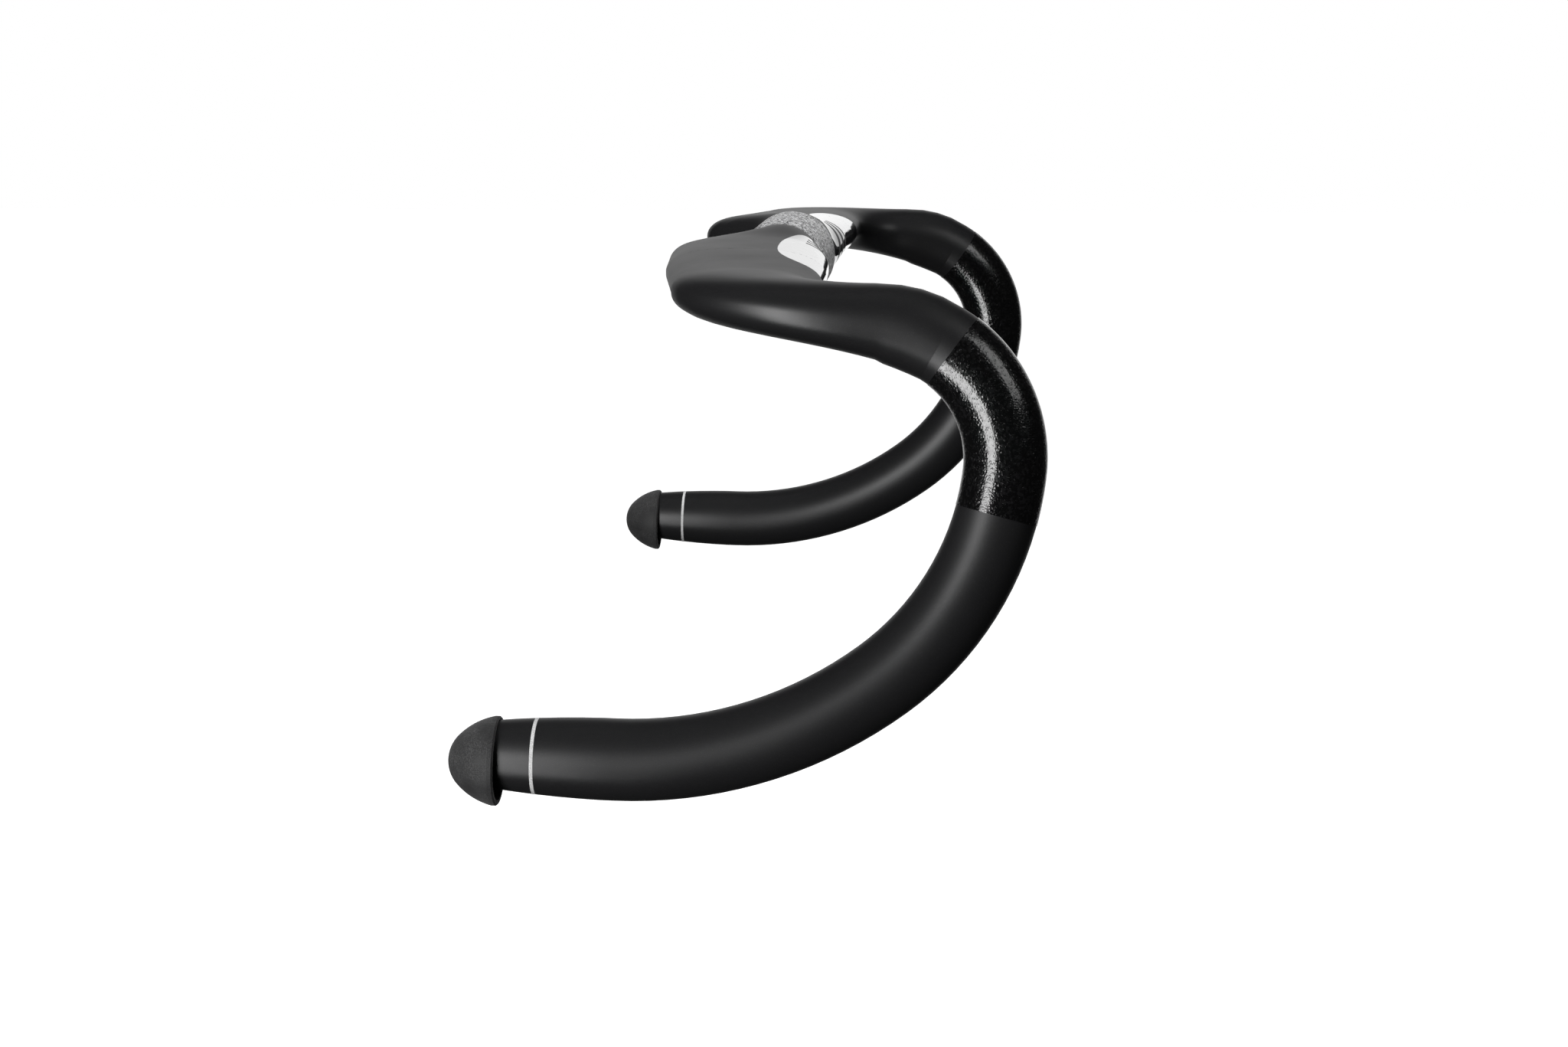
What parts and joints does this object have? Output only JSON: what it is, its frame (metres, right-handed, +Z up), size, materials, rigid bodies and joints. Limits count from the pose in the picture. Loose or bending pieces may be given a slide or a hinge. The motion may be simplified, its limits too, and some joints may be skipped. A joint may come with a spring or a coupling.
{
  "type": "aero road drop handlebar",
  "caption": "Black aero drop handlebar for a road bicycle: flat wing tops, round gritty stem seat, flared round hooks and rubber end plugs that pull out.",
  "frame": {"origin": "centre of the round stem seat, on the bar's middle plane", "axes": "+X the way the bicycle rolls, +Y the rider's left along the stem seat, +Z up"},
  "size_m": [0.1721, 0.4552, 0.1584],
  "materials": {
    "laminate": "moulded carbon laminate under a satin black clear coat",
    "raw_laminate": "bare carbon laminate, hidden inside the bar",
    "stem_grit": "coarse clear grit over black, so a stem clamp grips it",
    "lever_grit": "fine clear grit over black, under the brake lever clamps",
    "trim_print": "pale grey printed ring",
    "plug_rubber": "matt dusty charcoal rubber"
  },
  "bodies": {
    "bar": {"centre_section": "laminate", "drop_right": "laminate", "drop_left": "laminate", "bond_sleeve_right": "raw_laminate", "bond_sleeve_left": "raw_laminate", "stem_grit_band": "stem_grit", "lever_grit_right": "lever_grit", "lever_grit_left": "lever_grit", "trim_ring_right": "trim_print", "trim_ring_left": "trim_print"},
    "plug_right": {"end_plug_right": "plug_rubber"},
    "plug_left": {"end_plug_left": "plug_rubber"}
  },
  "joints": [
    {"name": "plug_right_pull", "type": "slide", "parent": "bar", "child": "plug_right", "axis": [-0.9996, 0.0039, 0.0277], "range_m": [0, 0.03]},
    {"name": "plug_left_pull", "type": "slide", "parent": "bar", "child": "plug_left", "axis": [-0.9996, -0.0039, 0.0277], "range_m": [0, 0.03]}
  ]
}
